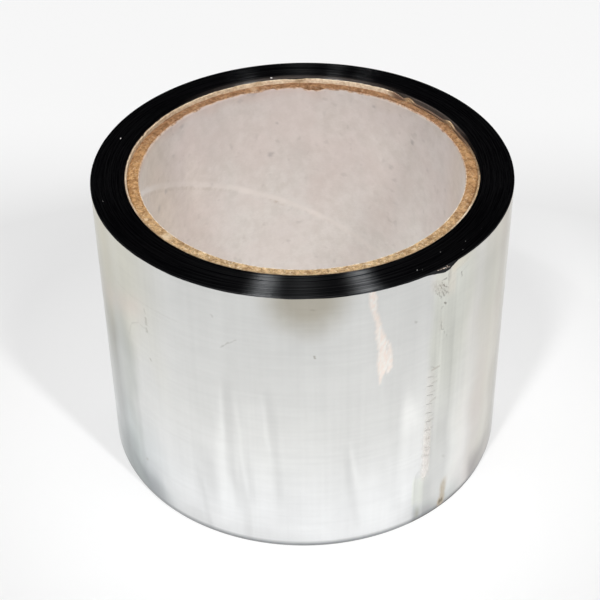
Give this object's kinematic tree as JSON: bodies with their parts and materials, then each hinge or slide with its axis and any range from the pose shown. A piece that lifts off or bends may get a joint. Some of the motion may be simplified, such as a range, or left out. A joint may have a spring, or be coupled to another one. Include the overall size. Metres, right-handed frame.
{
  "type": "roll of aluminium foil tape",
  "caption": "Wide roll of silver metallised tape wound on a laminated paper core, standing on end, with a serrated free end.",
  "frame": {"origin": "centre of the base, on the roll's axis", "axes": "+Z along the roll's axis, out of the upper end; the tape's free end is 54 degrees clockwise from +X, seen from above"},
  "size_m": [0.0994, 0.0994, 0.076],
  "materials": {
    "foil_film": "satin metallised film with soft streaks along the roll's axis",
    "wound_edge": "black cut edge of the wound turns, with fine concentric lines",
    "chipboard": "raw cut brown board, fibrous",
    "liner_paper": "mottled grey-white recycled paper",
    "facing_paper": "cream paper ply, cut edge"
  },
  "bodies": {
    "root": {"tape_winding": "foil_film", "core_board": "chipboard", "core_liner": "liner_paper", "core_facing": "facing_paper"}
  },
  "joints": []
}
